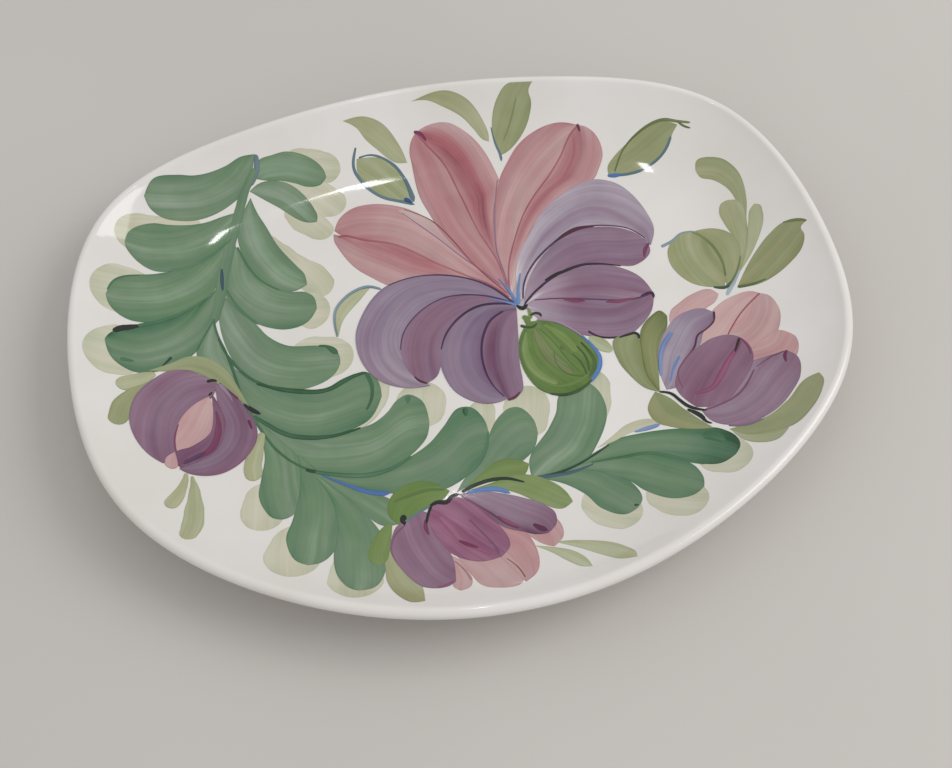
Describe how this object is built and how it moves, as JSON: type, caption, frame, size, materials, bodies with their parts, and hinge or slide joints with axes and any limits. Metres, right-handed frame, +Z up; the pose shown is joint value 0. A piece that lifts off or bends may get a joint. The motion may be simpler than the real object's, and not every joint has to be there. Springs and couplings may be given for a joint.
{
  "type": "free-form oval serving plate",
  "caption": "Shallow free-form oval serving plate with a rounded lip and a foot ring, in white glazed earthenware with painted flowers.",
  "frame": {"origin": "on the table, under the middle of the plate's outline", "axes": "+Z up out of the dish, +X along the plate's length, +Y across it towards the straighter long side"},
  "size_m": [0.338, 0.2734, 0.03],
  "materials": {
    "fired_clay": "bare fired earthenware, matt",
    "white_glaze": "glossy white glaze over brush-painted flowers and leaves"
  },
  "bodies": {
    "root": {"clay_body": "fired_clay", "face_glaze": "white_glaze", "back_glaze": "white_glaze", "foot_recess_glaze": "white_glaze"}
  },
  "joints": []
}
